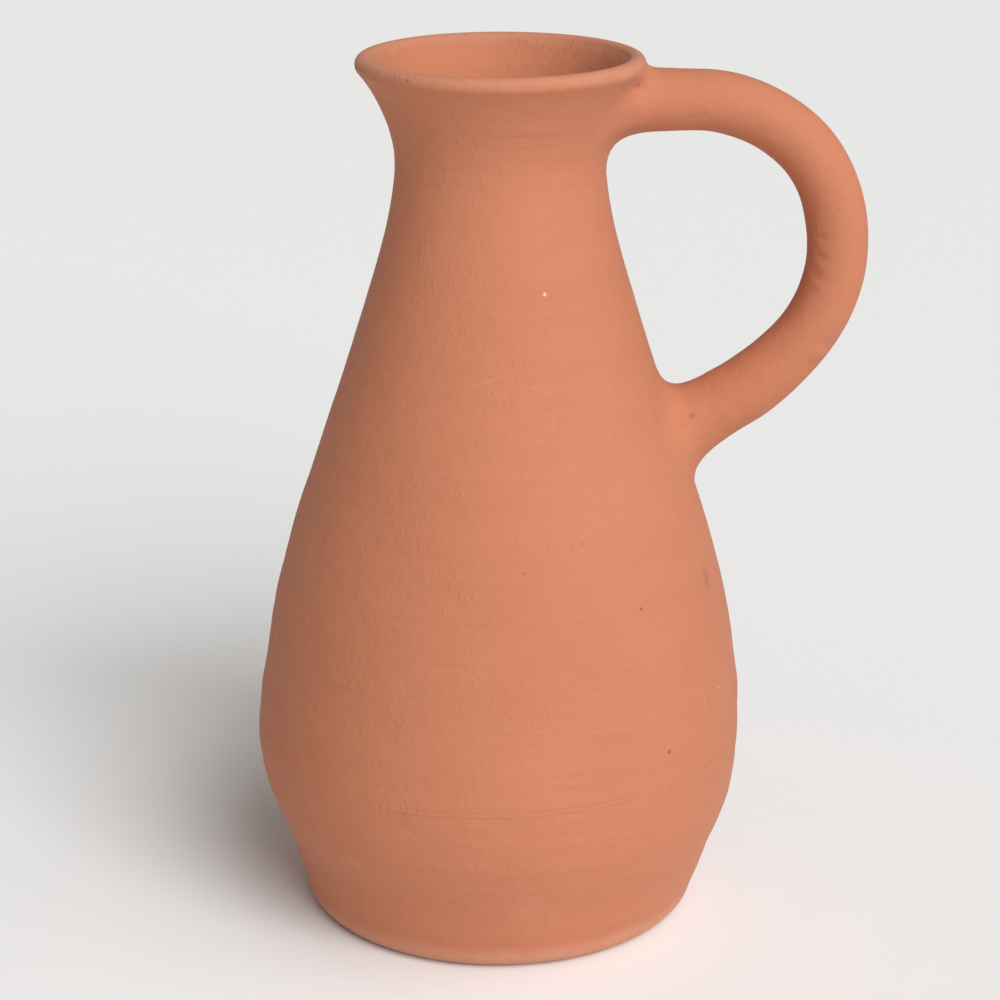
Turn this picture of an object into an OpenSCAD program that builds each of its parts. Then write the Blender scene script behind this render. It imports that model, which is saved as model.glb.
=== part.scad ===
// Terracotta pitcher: a thrown pear-shaped body with one rolled side handle,
// which is luted to the body with a collar of wiped clay at each end.
// The wheel axis is Z, the pitcher stands on Z = 0 and the handle points along +X.

/* [Body] */
// Height of the body, from the table to the top of the lip
height = 280; // [220:1:360]
// Thickness of the thrown wall, which is also the thickness of the lip
wall_t = 5.6; // [4:0.1:8]
// Thickness of the floor
floor_t = 8; // [5:0.5:12]
// Radius of the sweep from the floor up into the wall, inside
floor_sweep = 14; // [6:1:20]

/* [Foot] */
// Diameter of the foot, where its rounded edge meets the wall
foot_d = 126; // [100:1:150]
// Radius of the rounded edge round the foot
foot_edge_r = 6.5; // [3:0.5:12]
// Angle at which the wall leaves the foot, outwards from upright
foot_lean = 21; // [10:1:30]
// Length over which the wall keeps the lean of the foot
foot_rise = 20; // [10:1:25]

/* [Belly] */
// Diameter of the belly at its widest
belly_d = 157; // [130:1:190]
// Height of the widest part of the belly
belly_h = 59.5; // [45:0.5:75]
// Fullness of the belly below its widest part
belly_fall = 17; // [8:1:25]
// Fullness of the belly above its widest part
belly_rise = 66; // [40:1:80]

/* [Neck] */
// Diameter of the neck at its narrowest
neck_d = 65; // [52:1:80]
// Distance from the top of the lip down to the narrowest part of the neck
neck_drop = 31; // [24:1:40]
// Length over which the body runs upright into the neck from below
neck_fall = 43.5; // [20:0.5:60]
// Length over which the neck runs upright before it flares
neck_rise = 6; // [3:0.5:10]
// Diameter over the lip
rim_d = 89; // [74:1:110]
// Angle at which the wall reaches the lip, outwards from upright
lip_lean = 40; // [20:1:50]
// Length over which the wall keeps the lean of the lip
lip_pull = 11; // [6:1:14]

/* [Handle] */
// Diameter of the rolled clay bar
handle_d = 19.2; // [15:0.2:24]
// How much thicker than the rest the bar is at its upper root
upper_root_swell = 1.2; // [0:0.1:4]
// How much thicker than the rest the bar is at its lower root
lower_root_swell = 2; // [0:0.1:4]
// Length over which each thick end narrows into the bar
root_taper = 8; // [4:1:12]
// Width of the finger gap, from the narrowest part of the neck to the bar
finger_gap = 63; // [50:1:80]
// Distance from the top of the lip down to the middle of the bar at the upper root
handle_drop = 14; // [12:0.2:20]
// Radius of the upper bend, to the middle of the bar
upper_bend_r = 43.5; // [30:1:50]
// Length of the bar that runs upright between its two bends
grip_length = 2; // [2:1:30]
// Radius of the lower bend, to the middle of the bar
lower_bend_r = 51; // [45:1:70]
// Angle at which the lower root rises out of the belly
lower_root_rise = 35; // [20:1:40]

/* [Luting clay] */
// How far the clay is wiped out over the wall, beyond the bar, at the upper root
upper_spread = 12; // [6:1:16]
// How far the clay is wiped out along the bar at the upper root
upper_reach = 11; // [6:1:16]
// How far the clay is wiped out over the wall, beyond the bar, at the lower root
lower_spread = 9; // [6:1:14]
// How far the clay is wiped out along the bar at the lower root
lower_reach = 12; // [6:1:18]
// Thickness of the clay where the wiping ends on the bar
feather_t = 0.6; // [0.4:0.1:1]

/* [Hidden] */

clay_orange = [0.80, 0.50, 0.37];
clay_dark = [0.72, 0.43, 0.31];

$fn = 96;
// Steps along each curve of the outline
arc_steps = 8;
belly_steps = 12;
shoulder_steps = 24;
flare_steps = 14;

handle_r = handle_d / 2;
upper_root_r = (handle_d + upper_root_swell) / 2;
lower_root_r = (handle_d + lower_root_swell) / 2;
// A thick end narrows until it is this far inside the skin of the bar, for each mm along it
taper_slope = 0.2;
lip_r = wall_t / 2;
handle_top_z = height - handle_drop;
grip_x = neck_d / 2 + finger_gap + handle_r;
upper_bend_x = grip_x - upper_bend_r;
lower_bend_x = grip_x - lower_bend_r;
upper_bend_z = handle_top_z - upper_bend_r;
lower_bend_z = upper_bend_z - grip_length;
lower_end_x = lower_bend_x + lower_bend_r * sin(lower_root_rise);
lower_end_z = lower_bend_z - lower_bend_r * cos(lower_root_rise);
// Clay on the upper root stops level with the underside of the lip
wipe_top_z = height - wall_t;

// A direction in the outline's plane, leaning outwards from upright by an angle
function leaning(angle) = [sin(angle), cos(angle)];

// A point of a circle of radius r about c
function on_circle(c, r, angle) = c + r * [cos(angle), sin(angle)];

// A point of the cubic curve that leaves a along u and reaches b along v
function on_curve(a, u, v, b, t) =
    pow(1 - t, 3) * a + 3 * pow(1 - t, 2) * t * (a + u)
    + 3 * (1 - t) * t * t * (b - v) + pow(t, 3) * b;

// The direction of that curve at t
function along_curve(a, u, v, b, t) =
    3 * pow(1 - t, 2) * u + 6 * (1 - t) * t * (b - v - a - u) + 3 * t * t * v;

// That curve as points, each moved inwards by a distance square to the curve
function curve(a, u, v, b, steps, inwards) = [
    for (i = [0 : steps])
        let (t = i / steps, d = along_curve(a, u, v, b, t))
        on_curve(a, u, v, b, t) + inwards * [-d[1], d[0]] / norm(d)
];

foot_edge_c = [foot_d / 2 - foot_edge_r * cos(foot_lean), foot_edge_r];
foot_end = on_circle(foot_edge_c, foot_edge_r, -foot_lean);
belly_end = [belly_d / 2, belly_h];
neck_end = [neck_d / 2, height - neck_drop];
lip_c = [rim_d / 2 - lip_r, height - lip_r];
lip_start = on_circle(lip_c, lip_r, -lip_lean);

// The wall from the foot to the lip, as points at a distance inside its outer face
function wall(inwards) = concat(
    curve(foot_end, foot_rise * leaning(foot_lean), [0, belly_fall], belly_end, belly_steps, inwards),
    curve(belly_end, [0, belly_rise], [0, neck_fall], neck_end, shoulder_steps, inwards),
    curve(neck_end, [0, neck_rise], lip_pull * leaning(lip_lean), lip_start, flare_steps, inwards)
);

// The rounded edge of the foot and the round of the lip, without the ends that the wall has
foot_edge = [for (i = [0 : arc_steps - 1])
    on_circle(foot_edge_c, foot_edge_r, -90 + (90 - foot_lean) * i / arc_steps)];
lip_round = [for (i = [1 : 2 * arc_steps - 1])
    on_circle(lip_c, lip_r, -lip_lean + 180 * i / (2 * arc_steps))];

// Points without the one that repeats where two curves meet
function without_repeats(points) = [
    for (i = [0 : len(points) - 1])
        if (i == 0 || norm(points[i] - points[max(i - 1, 0)]) > 0.001) points[i]
];

outer_face = without_repeats(wall(0));
inner_face = [for (p = without_repeats(wall(wall_t))) if (p[1] > floor_t + floor_sweep) p];

// The sweep from the inner face down to the flat of the floor
sweep_start = inner_face[0];
sweep_lean = (sweep_start - inner_face[1]) / norm(sweep_start - inner_face[1]);
sweep_end = [sweep_start[0] - floor_sweep * 1.5, floor_t];
sweep_pull = 0.6 * floor_sweep;
floor_curve = curve(sweep_start, sweep_pull * sweep_lean, [-sweep_pull, 0], sweep_end, arc_steps, 0);

function backwards(points) = [for (i = [len(points) - 1 : -1 : 0]) points[i]];

// Radius of the outer face at a height
function wall_radius(z) = lookup(z, [for (p = outer_face) [p[1], p[0]]]);

// Distance to the outer face from a point, going inwards and down at an angle
function to_wall(x, z, angle, near = 0, far = 80, halvings = 16) =
    let (d = (near + far) / 2)
    halvings == 0 ? d
    : x - d * cos(angle) > wall_radius(z - d * sin(angle))
        ? to_wall(x, z, angle, d, far, halvings - 1)
        : to_wall(x, z, angle, near, d, halvings - 1);

upper_root = [upper_bend_x - to_wall(upper_bend_x, handle_top_z, 0), handle_top_z];
lower_root = [lower_end_x, lower_end_z]
    - to_wall(lower_end_x, lower_end_z, lower_root_rise) * [cos(lower_root_rise), sin(lower_root_rise)];

// The thrown body filled to its axis, which cuts whatever is stuck on its wall
module body_filled() {
    rotate_extrude()
        polygon(concat([[0, 0]], foot_edge, outer_face, lip_round, [[lip_c[0], height], [0, height]]));
}

module body() {
    color(clay_orange)
        rotate_extrude()
            polygon(concat([[0, 0]], foot_edge, outer_face, lip_round,
                backwards(inner_face), [for (i = [1 : arc_steps]) floor_curve[i]], [[0, floor_t]]));
}

// Stands a shape on the wall at a root, with its Z along the bar
module at_root(root, rise) {
    translate([root[0], 0, root[1]])
        rotate([0, 90 - rise, 0])
            children();
}

// A bend of the bar in the XZ plane, about a centre, from +X up through an angle
module bend(x, z, bend_r, angle) {
    translate([x, 0, z])
        rotate([90, 0, 0])
            rotate_extrude(angle = angle)
                translate([bend_r, 0])
                    circle(r = handle_r);
}

// A thick end of the bar, from the wheel axis out to its bend, and its taper inside the bend
module thick_end(root, rise, root_r, length) {
    inside = root[0] / cos(rise);
    at_root(root, rise)
        rotate_extrude()
            polygon([[0, -inside], [root_r, -inside], [root_r, length],
                [handle_r - taper_slope * root_taper, length + root_taper], [0, length + root_taper]]);
}

module upper_end() {
    thick_end(upper_root, 0, upper_root_r, upper_bend_x - upper_root[0]);
}

module lower_end() {
    thick_end(lower_root, lower_root_rise, lower_root_r, norm([lower_end_x, lower_end_z] - lower_root));
}

module handle() {
    color(clay_orange)
        difference() {
            union() {
                upper_end();
                bend(upper_bend_x, upper_bend_z, upper_bend_r, 90);
                translate([grip_x, 0, lower_bend_z])
                    cylinder(r = handle_r, h = grip_length);
                bend(lower_bend_x, lower_bend_z, lower_bend_r, lower_root_rise - 90);
                lower_end();
            }
            body_filled();
        }
}

// A flared collar round a thick end: its outline curves from the wall out along the bar
module flare(root, rise, root_r, spread, reach) {
    inside = root[0] / cos(rise);
    outline = curve([root_r + spread, -spread], [-spread / 2, spread / 2], [0, reach],
        [root_r + feather_t, reach], arc_steps, 0);
    at_root(root, rise)
        rotate_extrude()
            polygon(concat([[0, -inside], [root_r + spread, -inside]], outline, [[0, reach]]));
}

module upper_luting() {
    block = 2 * (upper_root_r + upper_spread);
    color(clay_dark)
        difference() {
            intersection() {
                flare(upper_root, 0, upper_root_r, upper_spread, upper_reach);
                translate([0, -block / 2, wipe_top_z - block])
                    cube([grip_x, block, block]);
            }
            upper_end();
            body_filled();
        }
}

module lower_luting() {
    color(clay_dark)
        difference() {
            flare(lower_root, lower_root_rise, lower_root_r, lower_spread, lower_reach);
            lower_end();
            body_filled();
        }
}

body();
handle();
upper_luting();
lower_luting();
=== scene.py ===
import math

import bpy
import numpy as np
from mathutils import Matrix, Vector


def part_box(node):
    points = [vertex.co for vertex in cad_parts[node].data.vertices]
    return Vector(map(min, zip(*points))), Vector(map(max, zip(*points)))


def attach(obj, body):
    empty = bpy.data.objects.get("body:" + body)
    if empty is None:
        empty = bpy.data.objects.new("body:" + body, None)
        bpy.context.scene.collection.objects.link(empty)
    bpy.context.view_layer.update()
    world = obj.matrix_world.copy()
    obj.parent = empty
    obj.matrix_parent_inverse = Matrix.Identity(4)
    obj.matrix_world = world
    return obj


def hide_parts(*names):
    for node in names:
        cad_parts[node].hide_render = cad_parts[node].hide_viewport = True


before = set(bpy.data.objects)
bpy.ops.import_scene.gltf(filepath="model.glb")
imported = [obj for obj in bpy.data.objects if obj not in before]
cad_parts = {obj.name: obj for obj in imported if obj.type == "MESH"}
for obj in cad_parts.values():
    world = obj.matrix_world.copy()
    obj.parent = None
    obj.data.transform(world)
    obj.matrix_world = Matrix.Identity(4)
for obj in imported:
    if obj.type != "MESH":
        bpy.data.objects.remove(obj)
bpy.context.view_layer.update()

# ---------------------------------------------------------------------------------------------
# The thrown body: floor, belly, neck and flared mouth in one piece, pulled up on a wheel from
# red earthenware and fired once without glaze. The fingers leave soft rings that climb round it,
# and the damp wall settles a little as it dries, so it is never quite true.

# Lengths are millimetres until a mesh is made.
body_low, body_high = (1000 * np.array(corner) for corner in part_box("body"))
height = body_high[2]
belly_radius = (body_high[1] - body_low[1]) / 2
belly_height = 59.5
foot_radius = 63.0
foot_edge = 6.5
foot_lean = math.radians(21)
foot_rise = 20.0
belly_fall = 17.0
belly_rise = 66.0
neck_fall = 43.5
neck_rise = 6.0
neck_radius = 32.5
neck_height = height - 31
rim_radius = 44.5
lip_lean = math.radians(40)
lip_pull = 11.0
wall = 5.6
floor_thickness = 8.0
floor_sweep = 14.0
sweep_width = 20.0
lip_round = wall / 2
body_columns = 256


def cubic(start, leave, arrive, end, steps):
    """A cubic curve from start to end, which leaves along one vector and arrives along another: the
    sum of four points, weighed by the powers of t and of what is left of it."""
    t = np.linspace(0, 1, steps)[:, None]
    a, b, c, d = (np.array(p, float) for p in (start, np.add(start, leave), np.subtract(end, arrive), end))
    return (1 - t) ** 3 * a + 3 * (1 - t) ** 2 * t * b + 3 * (1 - t) * t**2 * c + t**3 * d


def leaning(length, lean):
    """A length that leans outwards from upright by an angle."""
    return length * math.sin(lean), length * math.cos(lean)


def round_corner(centre, radius, start, end, steps):
    """Points on a circle about a centre, from one angle to another."""
    a = np.linspace(start, end, steps)
    return np.stack([centre[0] + radius * np.cos(a), centre[1] + radius * np.sin(a)], 1)


def inwards(curve, distance):
    """The curve moved inwards by a distance, square to its own direction."""
    way = np.gradient(curve, axis=0)
    way /= np.linalg.norm(way, axis=1)[:, None]
    return curve + distance * np.stack([-way[:, 1], way[:, 0]], 1)


def joined(*curves):
    """Curves end to end, without the points that repeat where they meet."""
    points = np.vstack(curves)
    step = np.linalg.norm(np.diff(points, axis=0), axis=1)
    return points[np.r_[True, step > 1e-4]]


foot_centre = (foot_radius - foot_edge * math.cos(foot_lean), foot_edge)
foot_end = (foot_radius, foot_edge * (1 - math.sin(foot_lean)))
belly_end = (belly_radius, belly_height)
neck_end = (neck_radius, neck_height)
lip_centre = (rim_radius - lip_round, height - lip_round)
lip_start = (
    lip_centre[0] + lip_round * math.cos(lip_lean),
    lip_centre[1] - lip_round * math.sin(lip_lean),
)

base = np.stack([np.linspace(0, foot_centre[0], 8), np.zeros(8)], 1)
foot_curve = round_corner(foot_centre, foot_edge, -math.pi / 2, -foot_lean, 12)
lower_wall = cubic(foot_end, leaning(foot_rise, foot_lean), (0, belly_fall), belly_end, 60)
upper_wall = cubic(belly_end, (0, belly_rise), (0, neck_fall), neck_end, 150)
flare = cubic(neck_end, (0, neck_rise), leaning(lip_pull, lip_lean), lip_start, 36)
lip = round_corner(lip_centre, lip_round, -lip_lean, math.pi - lip_lean, 24)
outer_wall = joined(lower_wall, upper_wall, flare)
inner_wall = inwards(outer_wall, wall)[::-4]
inner_wall = inner_wall[inner_wall[:, 1] > floor_thickness + floor_sweep]
sweep_end = (inner_wall[-1][0] - sweep_width, floor_thickness)
floor_curve = cubic(inner_wall[-1], (-2, -8), (-9, 0), sweep_end, 10)
well = np.stack([np.linspace(floor_curve[-1][0], 0, 6), np.full(6, floor_thickness)], 1)
outline = joined(base, foot_curve, outer_wall, lip, inner_wall, floor_curve, well)
outside = joined(foot_curve, outer_wall, lip[:10])


def wall_radius(z):
    """Radius of the outline's outside at a height, on straight lines between its points."""
    return np.interp(z, outside[:, 1], outside[:, 0])


# Rings that fingers and the trimming tool left on the outside: height, depth (a ridge where it is
# less than nothing), width and how far each climbs in one turn.
rings = np.array([
    (16.5, 0.25, 3.0, 0.0),
    (46.0, -0.25, 3.5, -6.0),
    (52.5, 0.14, 2.0, 2.0),
    (66.0, 0.16, 2.5, 2.0),
    (75.0, -0.20, 3.0, 1.0),
    (89.0, -0.10, 2.5, 3.0),
    (101.0, 0.09, 2.0, 2.0),
    (117.0, 0.13, 2.2, -3.0),
    (133.0, 0.13, 4.0, 1.5),
    (150.0, -0.07, 3.0, 1.5),
    (168.0, -0.08, 3.0, 1.0),
    (188.0, 0.06, 1.6, 1.0),
    (206.0, -0.09, 3.0, 1.0),
    (226.0, 0.09, 3.0, 1.0),
    (244.0, 0.15, 2.5, -1.0),
    (259.5, 0.13, 1.8, -2.0),
])
# Broad swells of the wall: height, how far it stands out and over what length.
swells = np.array([
    (4.0, 1.6, 5.0),
    (14.0, 0.4, 6.0),
    (24.0, -1.0, 7.0),
    (35.0, -0.15, 8.0),
    (47.0, 0.1, 9.0),
    (62.0, 0.25, 10.0),
    (88.0, -0.3, 8.0),
    (112.0, 0.5, 20.0),
    (134.0, 0.5, 9.0),
    (206.0, 0.75, 22.0),
    (253.0, 0.5, 6.0),
    (272.0, -0.35, 6.0),
])
# The belly has settled away from the handle. The foot was trimmed deepest in front, 30 degrees round
# towards the handle, and stands out a little on the opposite side.
settled, settled_height, settled_length = -1.0, 57.0, 17.0
trim_angle, trim_mean, trim_swing, trim_height = math.radians(-60), -0.8, 2.2, 14.0


def thrown(angle, radius, z):
    """Where a point of the outline comes to lie at an angle round the wheel axis: the rings press the
    wall in as shallow grooves and the swells push it out, each bell-shaped in height, a few slow waves
    put it out of round, the foot is trimmed deepest in front, and the belly has settled away from
    the handle."""
    turn = angle / (2 * np.pi)
    share = np.clip(radius / belly_radius, 0, 1)
    moved = 0.25 * np.cos(2 * angle + 0.8 + z / 60) + 0.15 * np.cos(3 * angle - z / 45)
    moved = moved + 0.05 * np.sin(7 * angle + z / 7) * np.sin(z / 11 + 2 * angle)
    moved = moved + 0.03 * np.sin(13 * angle - z / 5)
    for ring_height, depth, width, climb in rings:
        moved = moved - depth * np.exp(-(((z - ring_height - climb * turn) / width) ** 2))
    for swell_height, swell, width in swells:
        moved = moved + swell * np.exp(-(((z - swell_height) / width) ** 2))
    trimmed = trim_mean - trim_swing * np.cos(angle - trim_angle)
    moved = moved + trimmed * np.exp(-((z / trim_height) ** 2))
    r = radius + share * moved
    shift = settled * np.exp(-(((z - settled_height) / settled_length) ** 2))
    return np.stack([r * np.cos(angle) + shift, r * np.sin(angle), z + 0 * angle], -1)


def skin(name, points, closed_rows=False, poles=()):
    """A mesh from a grid of points: rows run along the piece and columns go round it. The last column
    joins the first, and so does the last row where the rows are closed. A pole closes an open end."""
    rows, columns = points.shape[:2]
    index = np.arange(rows * columns).reshape(rows, columns)
    row_from = index if closed_rows else index[:-1]
    row_to = np.roll(index, -1, 0) if closed_rows else index[1:]
    corners = [row_from, np.roll(row_from, -1, 1), np.roll(row_to, -1, 1), row_to]
    quads = np.stack(corners, -1).reshape(-1, 4)
    fans = []
    if len(poles):
        first, last = rows * columns, rows * columns + 1
        start, end = index[0], index[-1]
        fans = np.stack([np.roll(start, -1), start, np.full(columns, first)], -1).tolist()
        fans += np.stack([end, np.roll(end, -1), np.full(columns, last)], -1).tolist()
    vertices = np.vstack([points.reshape(-1, 3), np.reshape(poles, (-1, 3))]) / 1000
    mesh = bpy.data.meshes.new(name)
    mesh.from_pydata(vertices.tolist(), [], quads.tolist() + fans)
    mesh.shade_smooth()
    mesh.validate()
    piece = bpy.data.objects.new(name, mesh)
    bpy.context.scene.collection.objects.link(piece)
    return piece


around = np.linspace(0, 2 * np.pi, body_columns, endpoint=False)
body_rows = outline[1:-1]
body_points = thrown(around[None, :], body_rows[:, 0, None], body_rows[:, 1, None])
body_piece = skin("thrown_body", body_points, poles=[(0, 0, 0), (0, 0, floor_thickness)])
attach(body_piece, "root")
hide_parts("body")


def node(tree, kind, inputs=None, **settings):
    """Adds a shader node, sets its properties, and fills its sockets with values or links."""
    made = tree.nodes.new("ShaderNode" + kind)
    for key, value in settings.items():
        setattr(made, key, value)
    for key, value in (inputs or {}).items():
        socket = made.inputs[key]
        if isinstance(value, bpy.types.NodeSocket):
            tree.links.new(value, socket)
        else:
            socket.default_value = value
    return made


def group(name, takes, gives):
    """A shader node group with named inputs, of which Place and Centre are vectors in millimetres."""
    tree = bpy.data.node_groups.new(name, "ShaderNodeTree")
    for label in ["Place", *takes]:
        kind = "NodeSocketVector" if label in ("Place", "Centre") else "NodeSocketFloat"
        tree.interface.new_socket(label, in_out="INPUT", socket_type=kind)
    for label in gives:
        tree.interface.new_socket(label, in_out="OUTPUT", socket_type="NodeSocketFloat")
    return tree, tree.nodes.new("NodeGroupInput").outputs, tree.nodes.new("NodeGroupOutput").inputs


def maths(tree, operation, *values):
    """One arithmetic step between numbers or links."""
    return node(tree, "Math", dict(enumerate(values)), operation=operation).outputs[0]


def ramp(tree, value, low, high, to_low=0.0, to_high=1.0):
    """A soft step: to_low below low, to_high above high, smooth between them."""
    inputs = {"Value": value, "From Min": low, "From Max": high, "To Min": to_low, "To Max": to_high}
    return node(tree, "MapRange", inputs, interpolation_type="SMOOTHSTEP").outputs["Result"]


def stretched(tree, place, by):
    """The place with its three parts each multiplied by a number."""
    return node(tree, "VectorMath", {0: place, 1: by}, operation="MULTIPLY").outputs[0]


def noise(tree, place, size, detail=3.0, roughness=0.5):
    """Cloudy noise whose features are about size millimetres across."""
    inputs = {"Vector": place, "Scale": 1 / size, "Detail": detail, "Roughness": roughness}
    return node(tree, "TexNoise", inputs).outputs["Fac"]


# Grain of the fired clay, in millimetres of height: fine sand everywhere, soft unevenness, and grit
# that stands out here and there, drawn out a little upwards by the potter's hand.
grain, given, out = group("clay grain", [], ["Height", "Grit", "Tone"])
drawn_up = stretched(grain, given["Place"], (1.0, 1.0, 0.62))
fine = noise(grain, given["Place"], 0.55, 3.0, 0.6)
middling = noise(grain, drawn_up, 1.5, 2.0, 0.55)
broad = noise(grain, given["Place"], 7.0, 2.0, 0.5)
cells = node(grain, "TexVoronoi", {"Vector": drawn_up, "Scale": 1 / 2.1, "Randomness": 1.0})
grit = ramp(grain, cells.outputs["Distance"], 0.08, 0.34, 1.0, 0.0)
sparse = ramp(grain, noise(grain, given["Place"], 14.0, 4.0), 0.45, 0.66)
relief = maths(grain, "MULTIPLY_ADD", middling, 0.15, maths(grain, "MULTIPLY", fine, 0.068))
relief = maths(grain, "MULTIPLY_ADD", broad, 0.35, relief)
grain.links.new(relief, out["Height"])
grain.links.new(maths(grain, "MULTIPLY", grit, sparse), out["Grit"])
grain.links.new(maths(grain, "MULTIPLY_ADD", fine, 0.5, maths(grain, "MULTIPLY", middling, 0.5)), out["Tone"])

# Pits where a bit of root burnt out, and pale specks of lime, both far apart.
pits, given, out = group("pits and specks", [], ["Pit", "Speck"])
for label, spacing, size, moved in [("Pit", 31.0, 0.36, 9.0), ("Speck", 41.0, 0.38, 31.0)]:
    inputs = {0: given["Place"], 1: (moved, moved, moved)}
    shifted = node(pits, "VectorMath", inputs, operation="ADD").outputs[0]
    bits = node(pits, "TexVoronoi", {"Vector": shifted, "Scale": 1 / spacing, "Randomness": 1.0})
    inner, outer = 0.6 * size / spacing, 1.3 * size / spacing
    pits.links.new(ramp(pits, bits.outputs["Distance"], inner, outer, 1.0, 0.0), out[label])

# Cloudy changes of tone from the kiln, and the pale bloom that salts leave as the clay dries.
cloud, given, out = group("kiln clouds and bloom", ["Bloom"], ["Cloud", "Bloom"])
cloud.links.new(noise(cloud, given["Place"], 48.0, 3.0, 0.5), out["Cloud"])
patch = ramp(cloud, noise(cloud, given["Place"], 26.0, 4.0, 0.6), 0.52, 0.74)
streak = ramp(cloud, noise(cloud, given["Place"], 3.4, 4.0, 0.65), 0.50, 0.72)
streaked = maths(cloud, "MULTIPLY", patch, streak)
cloud.links.new(maths(cloud, "MULTIPLY", streaked, given["Bloom"]), out["Bloom"])

# Fine lines from wet fingers and the rib, level round the body.
lines, given, out = group("wheel lines", [], ["Height", "Tone"])
round_body = stretched(lines, given["Place"], (0.035, 0.035, 1.0))
line_noise = noise(lines, round_body, 2.4, 4.0, 0.6)
band_noise = noise(lines, round_body, 15.0, 2.0, 0.5)
lines.links.new(line_noise, out["Height"])
band_tone = maths(lines, "MULTIPLY", band_noise, 0.6)
lines.links.new(maths(lines, "MULTIPLY_ADD", line_noise, 0.4, band_tone), out["Tone"])

# Paler clay towards the foot and at the top of the lip, with a ragged edge.
paler_ends, given, out = group("paler foot and lip", [], ["Rubbed"])
level = node(paler_ends, "SeparateXYZ", {"Vector": given["Place"]}).outputs["Z"]
ragged = maths(paler_ends, "MULTIPLY_ADD", noise(paler_ends, given["Place"], 9.0, 3.0), 5.0, level)
at_foot = ramp(paler_ends, ragged, 7.0, 13.0, 0.42, 0.0)
at_lip = ramp(paler_ends, ragged, height - 1.5, height + 1.5, 0.0, 0.22)
paler_ends.links.new(maths(paler_ends, "ADD", at_foot, at_lip), out["Rubbed"])

# A round spot about a point, and a scored line round the body: at a height where it starts, from one
# bearing to another, climbing by so much in a degree.
spot, given, out = group("spot", ["Centre", "Size"], ["Mark"])
inputs = {0: given["Place"], 1: given["Centre"]}
off = node(spot, "VectorMath", inputs, operation="DISTANCE").outputs["Value"]
off = maths(spot, "DIVIDE", off, given["Size"])
off = maths(spot, "MULTIPLY_ADD", noise(spot, given["Place"], 2.2, 5.0, 0.7), 2.4, off)
spot.links.new(ramp(spot, off, 1.2, 2.2, 1.0, 0.0), out["Mark"])
score, given, out = group("scored line", ["Height", "From", "To", "Climb", "Width"], ["Mark"])
xyz = node(score, "SeparateXYZ", {"Vector": given["Place"]}).outputs
forwards = maths(score, "MULTIPLY", xyz["Y"], -1.0)
turned = maths(score, "DEGREES", maths(score, "ARCTAN2", xyz["X"], forwards))
past_start = maths(score, "SUBTRACT", turned, given["From"])
line_level = maths(score, "MULTIPLY_ADD", past_start, given["Climb"], given["Height"])
line_level = maths(score, "MULTIPLY_ADD", noise(score, given["Place"], 12.0, 2.0), 1.6, line_level)
off = maths(score, "DIVIDE", maths(score, "SUBTRACT", xyz["Z"], line_level), given["Width"])
across = maths(score, "EXPONENT", maths(score, "MULTIPLY", maths(score, "MULTIPLY", off, off), -1.0))
fade_in = ramp(score, past_start, 0.0, 8.0)
fade_out = ramp(score, maths(score, "SUBTRACT", given["To"], turned), 0.0, 8.0)
score.links.new(maths(score, "MULTIPLY", across, maths(score, "MULTIPLY", fade_in, fade_out)), out["Mark"])

clay_light = (0.578, 0.219, 0.122, 1)
clay_deep = (0.502, 0.181, 0.096, 1)
clay_pale = (0.640, 0.350, 0.240, 1)
clay_pit_and_painted_shade = (0.190, 0.080, 0.048, 1)
clay_lime_and_painted_light = (0.800, 0.680, 0.550, 1)


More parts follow.
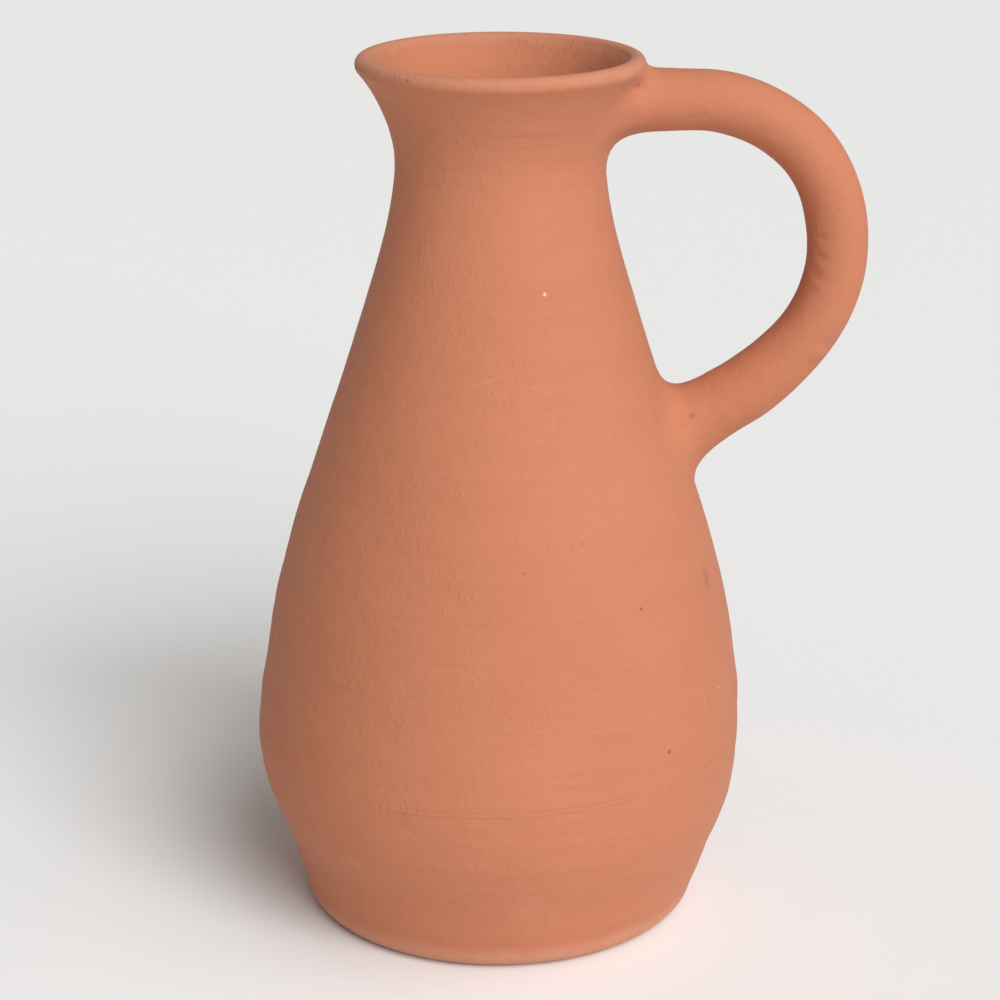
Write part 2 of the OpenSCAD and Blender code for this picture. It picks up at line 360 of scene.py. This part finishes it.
def terracotta(name, line_strength, grit, bloom, spots, scores=()):
    """Matte fired clay: cloudy base colour, wheel lines, grain, grit of a height in millimetres, pits,
    specks, bloom and a dusty sheen.
    Its own spots are (centre, size, depth, shade) and its scored lines (height, from, to, climb,
    width, depth, shade), where a shade above nothing is pale and one below nothing is dark."""
    material = bpy.data.materials.new(name)
    material.use_nodes = True
    tree = material.node_tree
    shader = tree.nodes["Principled BSDF"]
    where = node(tree, "TexCoord").outputs["Object"]
    place = stretched(tree, where, (1000.0, 1000.0, 1000.0))

    def put(made, **inputs):
        """Places a node group and hands it the place on the piece."""
        return node(tree, "Group", {"Place": place, **inputs}, node_tree=made).outputs

    grains, holes, clouds, rings_on = put(grain), put(pits), put(cloud, Bloom=bloom), put(lines)
    tone = maths(tree, "MULTIPLY_ADD", clouds["Cloud"], 0.9, -0.45)
    tone = maths(tree, "MULTIPLY_ADD", grains["Tone"], 0.9, maths(tree, "ADD", tone, -0.45))
    lined = maths(tree, "MULTIPLY_ADD", rings_on["Tone"], line_strength, -0.5 * line_strength)
    tone = maths(tree, "ADD", maths(tree, "ADD", tone, lined), 0.5)
    dark, pale = holes["Pit"], holes["Speck"]
    rise = maths(tree, "MULTIPLY_ADD", rings_on["Height"], line_strength * 0.22, grains["Height"])
    rise = maths(tree, "MULTIPLY_ADD", grains["Grit"], grit, rise)
    rise = maths(tree, "MULTIPLY_ADD", holes["Pit"], -0.5, rise)
    marks = []
    for centre, size, depth, shade in spots:
        marks.append((put(spot, Centre=centre, Size=size)["Mark"], depth, shade))
    for start_height, start, end, climb, width, depth, shade in scores:
        line = put(score, Height=start_height, From=start, To=end, Climb=climb, Width=width)
        marks.append((line["Mark"], depth, shade))
    # A scored line's dark shade is painted shade in its groove, and its pale shade on a ridge is a painted
    # highlight. Pits, specks and smudges are the clay's own colour.
    for mark, depth, shade in marks:
        rise = maths(tree, "MULTIPLY_ADD", mark, -depth, rise)
        if shade > 0:
            pale = maths(tree, "MULTIPLY_ADD", mark, shade, pale)
        if shade < 0:
            dark = maths(tree, "MULTIPLY_ADD", mark, -shade, dark)

    def mixed(share, under, over):
        """One colour laid over another by a share."""
        inputs = {"Factor": share, "A": under, "B": over}
        return node(tree, "Mix", inputs, data_type="RGBA", clamp_factor=True).outputs["Result"]

    colour = mixed(tone, clay_deep, clay_light)
    colour = mixed(clouds["Bloom"], colour, clay_pale)
    colour = mixed(put(paler_ends)["Rubbed"], colour, clay_pale)
    colour = mixed(dark, colour, clay_pit_and_painted_shade)
    colour = mixed(pale, colour, clay_lime_and_painted_light)
    bump = node(tree, "Bump", {"Height": rise, "Distance": 0.001, "Strength": 1.0})
    rough = maths(tree, "MULTIPLY_ADD", grains["Tone"], 0.15, 0.78)
    tree.links.new(colour, shader.inputs["Base Color"])
    tree.links.new(rough, shader.inputs["Roughness"])
    tree.links.new(bump.outputs["Normal"], shader.inputs["Normal"])
    shader.inputs["Specular IOR Level"].default_value = 0.18
    shader.inputs["Sheen Weight"].default_value = 0.10
    shader.inputs["Sheen Roughness"].default_value = 0.40
    shader.inputs["Sheen Tint"].default_value = (0.95, 0.86, 0.78, 1)
    return material


def on_body(bearing, z):
    """The point of the body's outside at a height and a bearing, in degrees to the right of the front."""
    return thrown(math.radians(bearing - 90), wall_radius(z), z).tolist()


# Bearing, height, size, depth and shade of what is on the body's front.
body_spots = [
    (20, 214, 0.75, -0.05, 0.9),
    (38, 120, 0.80, 0.20, -0.9),
    (42, 74, 0.80, 0.20, -0.9),
    (45, 72, 0.50, 0.15, -0.4),
    (6, 135, 0.65, 0.12, -0.6),
    (10, 144, 0.55, 0.08, -0.5),
    (13, 143, 0.50, 0.08, -0.4),
    (20, 141, 0.55, 0.08, -0.5),
    (23, 142, 0.50, 0.08, -0.4),
    (69, 119, 3.8, 0.0, -0.32),
    (-22, 58, 3.4, 0.10, -0.07),
    (-56, 136, 3.4, -0.18, 0.0),
    (-45, 279, 0.8, 0.18, -0.35),
    (-38, 278, 0.7, 0.15, -0.3),
    (-38, 36, 4.0, 0.0, 0.05),
    (7, 27, 7.0, 0.0, 0.05),
]
# Height, bearings, climb, width, depth and shade of the lines scored round it. The dark shade along a groove
# is painted shade, and the pale shade along a ridge is a painted highlight.
body_scores = [
    (59, -32, 75, 0.03, 0.55, 0.10, -0.07),
    (61, -24, 70, 0.03, 0.50, 0.09, -0.05),
    (119, -32, 60, -0.01, 0.60, 0.05, -0.05),
    (118, 30, 84, -0.10, 0.50, 0.03, -0.03),
    (93, -52, -30, 0.07, 0.35, 0.10, -0.05),
    (104, 1, 15, -0.04, 0.40, 0.10, -0.04),
    (89, -4, 34, -0.12, 0.35, -0.04, 0.03),
    (84, 26, 64, 0.13, 0.35, -0.03, 0.02),
    (73, -45, 10, 0.05, 0.50, 0.05, 0.0),
    (186, -13, 5, 0.30, 0.30, 0.04, 0.09),
    (187, 0, 28, 0.0, 0.35, 0.03, 0.035),
    (261, -8, 55, -0.03, 0.60, 0.05, -0.06),
    (31, -60, 60, -0.02, 0.60, 0.04, 0.0),
]
body_marks = [(on_body(bearing, z), *rest) for bearing, z, *rest in body_spots]
body_piece.data.materials.append(terracotta("thrown terracotta", 1.0, 0.12, 0.25, body_marks, body_scores))

# ---------------------------------------------------------------------------------------------
# The handle: a bar of stiff clay rolled on the bench, bent by hand, and stuck on when leather
# hard. It is a little thicker at both roots, and its ends are scribed to the wall.

handle_high = 1000 * np.array(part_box("handle")[1])
bar_radius = 9.6
grip_radius = 9.45
upper_swell = 0.5
lower_swell = 0.8
bar_start = 24.0
bar_tail = 48.0
upper_axis = height - 14
grip_axis = handle_high[0] - bar_radius
upper_bend = 43.5
grip_straight = 2.0
lower_bend = 51.0
root_rise = math.radians(35)
handle_columns = 96
handle_rows = 200

bend_x, bend_z = grip_axis - upper_bend, upper_axis - upper_bend
low_x, low_z = grip_axis - lower_bend, bend_z - grip_straight


def handle_path():
    """The middle of the bar and its outward direction, from inside the neck to inside the belly:
    straight, round a quarter circle, upright, round a second arc, and straight again."""
    top_x = np.linspace(bar_start, bend_x, 36, endpoint=False)
    top = np.stack([top_x, np.full(36, upper_axis), np.zeros(36), np.ones(36)], 1)
    a = np.linspace(math.pi / 2, 0, 90)
    out_a = np.stack([np.cos(a), np.sin(a)], 1)
    bend_a = np.hstack([(bend_x, bend_z) + upper_bend * out_a, out_a])
    b = np.linspace(0, root_rise - math.pi / 2, 60)
    out_b = np.stack([np.cos(b), np.sin(b)], 1)
    bend_b = np.hstack([(low_x, low_z) + lower_bend * out_b, out_b])
    run = np.linspace(0, bar_tail, 48)[1:, None]
    inwards_and_down = -np.array([math.cos(root_rise), math.sin(root_rise)])
    tail = np.hstack([bend_b[-1, :2] + run * inwards_and_down, np.repeat(bend_b[-1:, 2:], len(run), 0)])
    return np.vstack([top, bend_a, bend_b, tail])


def on_wall(across, z, depth=0.0):
    """The point of the body's outside on the handle's side, at a height and a distance across, sunk
    by a depth. Its angle is the one whose sine is the distance across over the radius."""
    r = wall_radius(z)
    angle = np.arcsin(np.clip(across / r, -0.95, 0.95))
    return thrown(angle, r - depth, z)


def through_wall(line, upper):
    """Length along the bar at which a line of points goes through the body's wall, at its upper or
    its lower end."""
    gap = np.hypot(line[:, 0], line[:, 1]) - wall_radius(line[:, 2])
    half = slice(None, len(line) // 2) if upper else slice(None, len(line) // 2, -1)
    return np.interp(0.0, gap[half], path_length[half])


path = handle_path()
path_length = np.r_[0, np.cumsum(np.linalg.norm(np.diff(path[:, :2], axis=0), axis=1))]
middle_line = np.stack([path[:, 0], 0 * path[:, 0], path[:, 1]], 1)
upper_root, lower_root = through_wall(middle_line, True), through_wall(middle_line, False)
round_bar = np.linspace(0, 2 * np.pi, handle_columns, endpoint=False)


def bar_thickness(length, turn):
    """Radius of the bar: thinnest where the hand holds it, thicker at both roots, with slow waves from
    rolling and the dents of a few fingertips, which are bell-shaped both along the bar and round it."""
    radius = grip_radius + upper_swell * np.exp(-(((length - upper_root) / 16) ** 2))
    radius = radius + lower_swell * np.exp(-(((lower_root - length) / 24) ** 2))
    radius = radius + 0.12 * np.sin(length / 9.0 + 1.3 * np.cos(turn))
    radius = radius + 0.10 * np.cos(2 * turn + length / 14.0)
    for at, bearing, lift, run, width in bar_marks:
        off = np.angle(np.exp(1j * (turn - math.radians(bearing))))
        radius = radius + lift * np.exp(-(((length - at) / run) ** 2) - (off / math.radians(width)) ** 2)
    return radius


# Marks on the bar: length along it, bearing round it (0 outside, 180 inside, 90 and 270 on the sides),
# how far the clay stands out, and how far the mark runs along the bar and round it.
bar_marks = [
    (38.0, 180, -0.30, 10.0, 70),
    (50.0, 180, 0.85, 14.0, 70),
    (66.0, 180, 0.35, 9.0, 60),
    (60.0, 0, -0.80, 15.0, 80),
    (92.0, 0, -0.40, 16.0, 80),
    (99.0, 180, 0.45, 9.0, 70),
    (150.0, 180, 0.60, 11.0, 70),
    (172.0, 180, 0.45, 4.0, 40),
    (163.0, 0, 1.30, 11.0, 80),
    (137.0, 308, -0.45, 1.6, 18),
    (140.5, 312, 0.45, 1.8, 18),
    (145.0, 306, -0.30, 2.4, 18),
    (104.0, 230, -0.42, 1.2, 15),
    (107.5, 233, 0.34, 1.2, 14),
    (110.5, 231, -0.42, 1.2, 15),
    (114.0, 235, 0.34, 1.3, 14),
    (117.5, 230, -0.38, 1.3, 15),
    (121.0, 235, 0.28, 1.4, 14),
]

bar_radii = bar_thickness(path_length[:, None], round_bar[None, :])
bar = np.stack([
    path[:, 0, None] + bar_radii * np.cos(round_bar) * path[:, 2, None],
    bar_radii * np.sin(round_bar),
    path[:, 1, None] + bar_radii * np.cos(round_bar) * path[:, 3, None],
], -1)


def on_bar(lengths, sunk=0.0):
    """Points of the bar's skin at a length along each of the lines round it, sunk towards its middle."""
    points = np.empty(lengths.shape + (3,))
    for j, k in np.ndindex(handle_columns, 3):
        points[:, j, k] = np.interp(lengths[:, j], path_length, bar[:, j, k])
    middles = np.stack([np.interp(lengths, path_length, middle_line[:, k]) for k in range(3)], -1)
    return points + (middles - points) * sunk / bar_radius


upper_meet = np.array([through_wall(bar[:, j], True) for j in range(handle_columns)])
lower_meet = np.array([through_wall(bar[:, j], False) for j in range(handle_columns)])
into_wall = 1.5
share = np.linspace(0, 1, handle_rows)[:, None]
handle_points = on_bar((upper_meet - into_wall) * (1 - share) + (lower_meet + into_wall) * share)
handle_poles = [handle_points[0].mean(0), handle_points[-1].mean(0)]
handle_piece = skin("rolled_handle", handle_points[:, ::-1], poles=handle_poles)
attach(handle_piece, "root")
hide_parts("handle")
bar_spots = [
    ((91, -9, 263), 0.85, 0.20, -0.9),
    ((62, -9, 263), 1.6, 0.10, -0.05),
    ((57, -9, 262), 1.2, 0.12, -0.06),
    ((98, -8, 191), 1.4, 0.20, -0.10),
]
handle_piece.data.materials.append(terracotta("rolled terracotta", 0.0, 0.02, 0.15, bar_spots))

# ---------------------------------------------------------------------------------------------
# The luting clay: soft clay and slip wiped round each root with a thumb, from the bar out over
# the wall, so that the handle grows out of the body with no step.


def by_bearing(outside_bend, side, inside_bend):
    """A length for each line round the bar, from its values outside the bend, at the sides and inside,
    blended by the square of the cosine of the turn."""
    c = np.cos(round_bar)
    return side + np.where(c > 0, outside_bend - side, inside_bend - side) * c**2


def unit(vectors):
    """Vectors of length one."""
    return vectors / np.linalg.norm(vectors, axis=-1, keepdims=True)


def wiped_collar(name, meet, away, reach, spread):
    """A closed skin. Each line starts just under the bar's skin, at its reach from the wall, and a
    curve of the fifth degree wipes it out over the wall to end just under the wall's skin, at its
    spread from the bar. Then the rows go back inside the wall and inside the bar."""
    feather, buried = 0.08, 1.4
    meeting = on_bar(meet[None])[0]
    start = on_bar((meet + away * reach)[None], feather)[0]
    ahead = on_bar((meet + away * (reach - 1.0))[None], feather)[0]
    outwards = unit(meeting[:, 1:] - meeting[:, 1:].mean(0))
    across, level = (meeting[:, 1:] + spread[:, None] * outwards).T
    landing = on_wall(across, level, feather)
    beyond = on_wall(across + 0.5 * outwards[:, 0], level + 0.5 * outwards[:, 1], feather)
    leave = reach[:, None] * unit(ahead - start)
    arrive = spread[:, None] * unit(beyond - landing)
    pulls = [start + pull * leave for pull in (0, 0.4, 0.85)]
    pulls += [landing - pull * arrive for pull in (0.85, 0.4, 0)]
    t = np.linspace(0, 1, 44)[:, None, None]
    wiped = sum(math.comb(5, k) * (1 - t) ** (5 - k) * t**k * point for k, point in enumerate(pulls))
    under_wall = on_wall(across, level, buried)
    corner = on_wall(meeting[:, 1] - buried * outwards[:, 0], meeting[:, 2] - buried * outwards[:, 1], buried)
    under_bar = on_bar((meet + away * reach)[None], buried)
    rows = np.concatenate([wiped, under_wall[None], corner[None], under_bar])
    return skin(name, rows[:, ::away], closed_rows=True)


upper_collar = wiped_collar("upper_root_clay", upper_meet, 1, by_bearing(8, 18, 18), by_bearing(2.2, 13, 20))
lower_collar = wiped_collar("lower_root_clay", lower_meet, -1, by_bearing(26, 22, 20), by_bearing(11, 14, 14))
root_spots = [
    ((57, -12, 165), 1.00, 0.20, -0.7),
    ((60, -11, 168), 1.30, 0.15, -0.5),
    ((42, -12, 272), 0.90, 0.25, -0.7),
]
luting_clay = terracotta("wiped luting clay", 0.0, 0.02, 0.15, root_spots)
for collar, cad_node in ((upper_collar, "upper_luting"), (lower_collar, "lower_luting")):
    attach(collar, "root")
    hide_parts(cad_node)
    collar.data.materials.append(luting_clay)

# ---------------------------------------------------------------------------------------------
# The table and the light: a plain pale floor, one wide soft light from the front right, a weaker
# one higher up on the right, and a pale surround that fills the shadows.

floor_mesh = bpy.data.meshes.new("floor")
floor_mesh.from_pydata([(-6, -6, 0), (6, -6, 0), (6, 6, 0), (-6, 6, 0)], [], [(0, 1, 2, 3)])
floor_object = bpy.data.objects.new("floor", floor_mesh)
bpy.context.scene.collection.objects.link(floor_object)
floor_material = bpy.data.materials.new("pale floor")
floor_material.use_nodes = True
floor_shader = floor_material.node_tree.nodes["Principled BSDF"]
floor_shader.inputs["Base Color"].default_value = (0.93, 0.95, 0.96, 1)
floor_shader.inputs["Roughness"].default_value = 0.9
floor_mesh.materials.append(floor_material)

world = bpy.data.worlds.new("surround")
world.use_nodes = True
world.node_tree.nodes["Background"].inputs["Color"].default_value = (1, 0.92, 0.85, 1)
world.node_tree.nodes["Background"].inputs["Strength"].default_value = 0.25
bpy.context.scene.world = world


def soft_light(name, bearing, rise, width, strength):
    """A far wide lamp, with its bearing to the right of the camera, its rise and its width in degrees."""
    lamp = bpy.data.lights.new(name, "SUN")
    lamp.angle, lamp.energy = math.radians(width), strength
    holder = bpy.data.objects.new(name, lamp)
    holder.rotation_euler = (math.radians(90 - rise), 0, math.radians(bearing))
    bpy.context.scene.collection.objects.link(holder)


soft_light("key", 30, 35, 40, 2.50)
soft_light("side", 60, 60, 40, 0.64)

camera_data = bpy.data.cameras.new("camera")
camera_data.sensor_width = 36
camera_data.lens = 99.4
camera = bpy.data.objects.new("camera", camera_data)
camera.location = (0, -0.840, 0.4222)
camera.rotation_euler = (math.radians(90 - 18.79), math.radians(0.08), math.radians(-0.013))
bpy.context.scene.collection.objects.link(camera)
bpy.context.scene.camera = camera
bpy.context.scene.view_settings.view_transform = "Standard"
